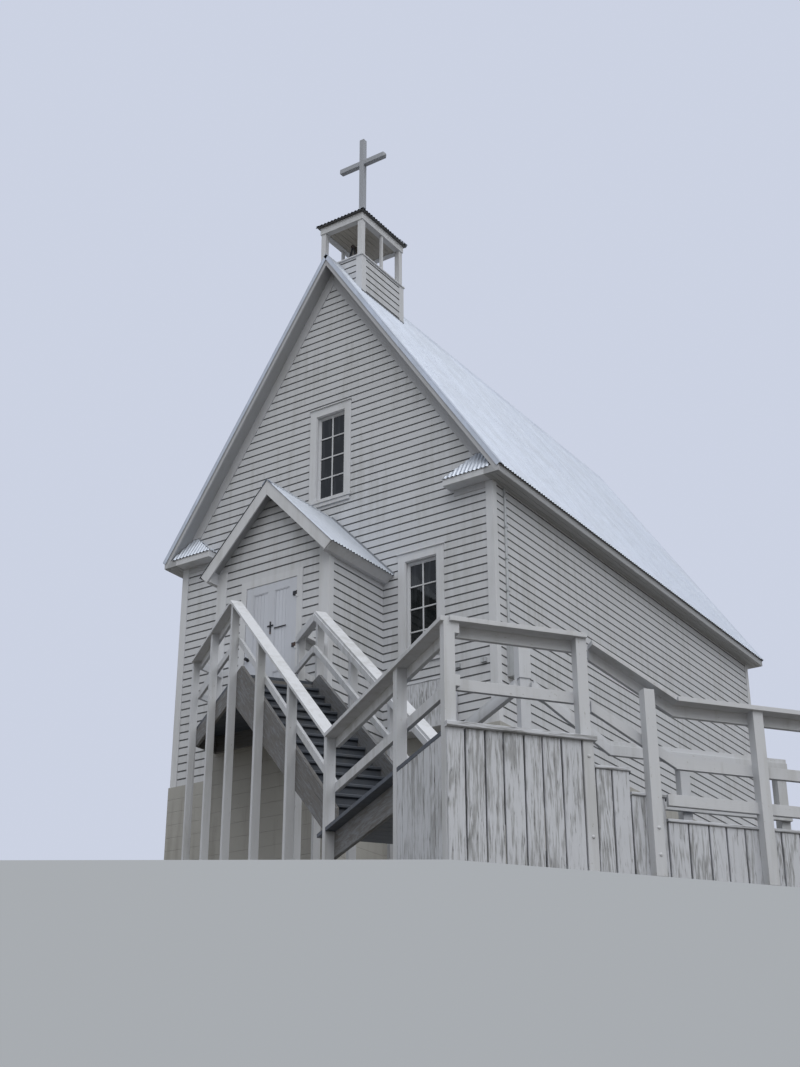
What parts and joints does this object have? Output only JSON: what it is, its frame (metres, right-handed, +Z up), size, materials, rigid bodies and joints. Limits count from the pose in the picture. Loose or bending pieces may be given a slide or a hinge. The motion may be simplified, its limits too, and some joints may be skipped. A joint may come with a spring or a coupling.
{
  "type": "small timber chapel",
  "caption": "Steep-roofed timber chapel with a gabled entry, an open belfry with bell and cross, and its hillside stair, deck and railings.",
  "frame": {"origin": "middle of the front wall's plane, on the level underside of the foundation", "axes": "+X to the right along the front, +Y into the building along the ridge, +Z up"},
  "size_m": [12.053, 16.8122, 15.0093],
  "materials": {
    "white_siding": "white painted drop siding",
    "white_trim": "white painted boards",
    "railing_paint": "white paint, slightly weathered",
    "weathered_boards": "worn white paint over rough boards",
    "door_paint": "white painted panelled door",
    "stair_paint": "dark blue-grey deck paint",
    "floor_boards": "oiled pine boards",
    "roof_metal": "ribbed galvanised sheet",
    "window_glass": "clear panes, dark inside",
    "dark_iron": "black iron",
    "bell_iron": "dark cast bell",
    "concrete": "weathered cast concrete",
    "service_metal": "grey galvanised housing"
  },
  "bodies": {
    "chapel": {"foundation": "concrete", "chapel_floor": "floor_boards", "front_wall_left": "white_siding", "front_wall_right": "white_siding", "front_gable_wall": "white_siding", "left_wall": "white_siding", "right_wall": "white_siding", "back_wall": "white_siding", "nave_roof_left": "roof_metal", "nave_roof_right": "roof_metal", "ridge_cap": "roof_metal", "gable_boards": "white_trim", "corner_boards": "white_trim", "cornice_returns": "white_trim", "window_frames": "white_trim", "window_glass": "window_glass", "entry_wall_left": "white_siding", "entry_wall_right": "white_siding", "entry_front_left": "white_siding", "entry_front_right": "white_siding", "entry_gable_wall": "white_siding", "entry_roof_left": "roof_metal", "entry_roof_right": "roof_metal", "entry_bargeboards": "white_trim", "door_frame": "white_trim", "belfry_base": "white_siding", "belfry_posts": "white_trim", "belfry_beams": "white_trim", "belfry_roof": "roof_metal", "roof_cross": "white_trim", "bell_stands": "dark_iron", "door_landing": "stair_paint", "landing_rails": "railing_paint", "entry_stair": "stair_paint", "stair_rails": "railing_paint", "lower_deck": "stair_paint", "deck_skirt": "weathered_boards", "deck_rails": "railing_paint", "side_walk": "stair_paint", "walk_rails": "railing_paint", "wall_fittings": "service_metal", "planter_box": "weathered_boards"},
    "door": {"front_door": "door_paint", "door_fittings": "dark_iron"},
    "bell": {"bell": "bell_iron"}
  },
  "joints": [
    {"name": "door_hinge", "type": "hinge", "parent": "chapel", "child": "door", "pos_m": [0.441, -1.313, 4.91], "axis": [0, 0, 1], "range_deg": [0, 90]},
    {"name": "bell_swing", "type": "hinge", "parent": "chapel", "child": "bell", "pos_m": [0, 0.76, 12.62928], "axis": [0, 1, 0], "range_deg": [-30, 30]}
  ]
}
